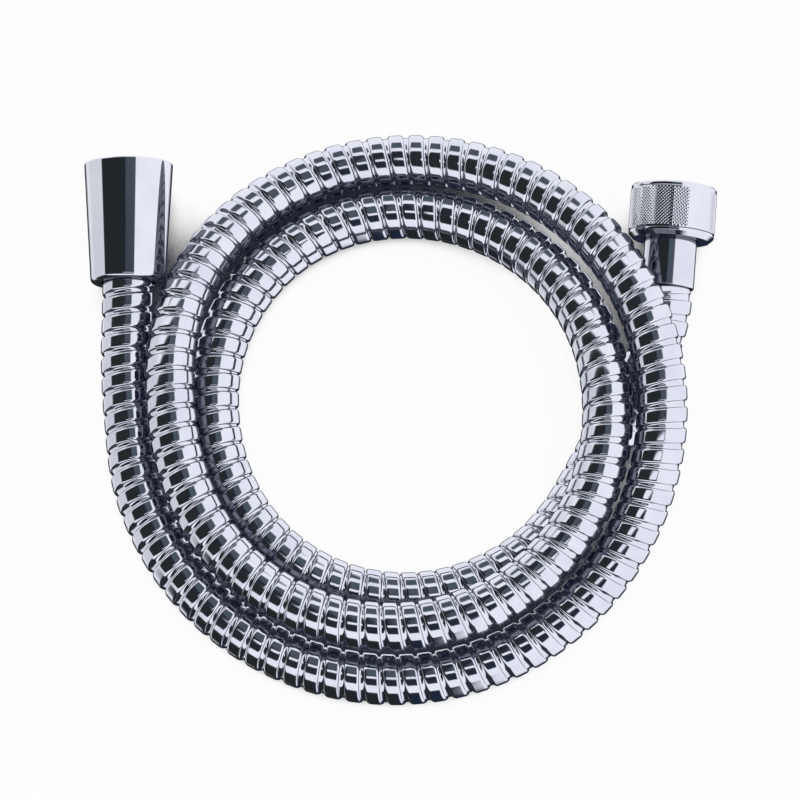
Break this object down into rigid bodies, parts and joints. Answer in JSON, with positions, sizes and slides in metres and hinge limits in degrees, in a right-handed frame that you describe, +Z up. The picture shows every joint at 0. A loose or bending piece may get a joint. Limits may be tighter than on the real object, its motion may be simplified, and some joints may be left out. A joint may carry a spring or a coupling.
{
  "type": "shower hose",
  "caption": "Chromed metal-armoured shower hose in a loose coil, with a conical swivel nut on one end and a knurled swivel nut on the other.",
  "frame": {"origin": "under the middle of the whole hose's outline, on the surface that the coil lies on", "axes": "+Z up from that surface; +X across both ends, from the conical nut to the knurled nut; +Y the way that both nuts' mouths point"},
  "size_m": [0.1778, 0.1636, 0.0309],
  "materials": {
    "chrome_armour": "polished chrome plate on wound steel strip",
    "chrome_nut": "polished chrome plate on brass",
    "chrome_sleeve": "polished chrome plate",
    "brass_stem": "turned, unplated",
    "rubber_washer": "matt",
    "inner_hose": "smooth extruded soft plastic"
  },
  "bodies": {
    "hose": {"hose_armour": "chrome_armour", "inner_hose": "inner_hose", "cone_sleeve": "chrome_sleeve", "cone_stem": "brass_stem", "nut_sleeve": "chrome_sleeve", "nut_stem": "brass_stem"},
    "conical_nut": {"cone_nut": "chrome_nut", "cone_washer": "rubber_washer"},
    "knurled_nut": {"knurled_nut": "chrome_nut", "nut_washer": "rubber_washer"}
  },
  "joints": [
    {"name": "cone_nut_spin", "type": "hinge", "parent": "hose", "child": "conical_nut", "pos_m": [-0.07647, 0.03829, 0.01051], "axis": [0, 0.9983, 0.0587], "continuous": true},
    {"name": "knurled_nut_spin", "type": "hinge", "parent": "hose", "child": "knurled_nut", "pos_m": [0.07583, 0.05029, 0.01213], "axis": [0.073, 0.9935, 0.0872], "continuous": true}
  ]
}
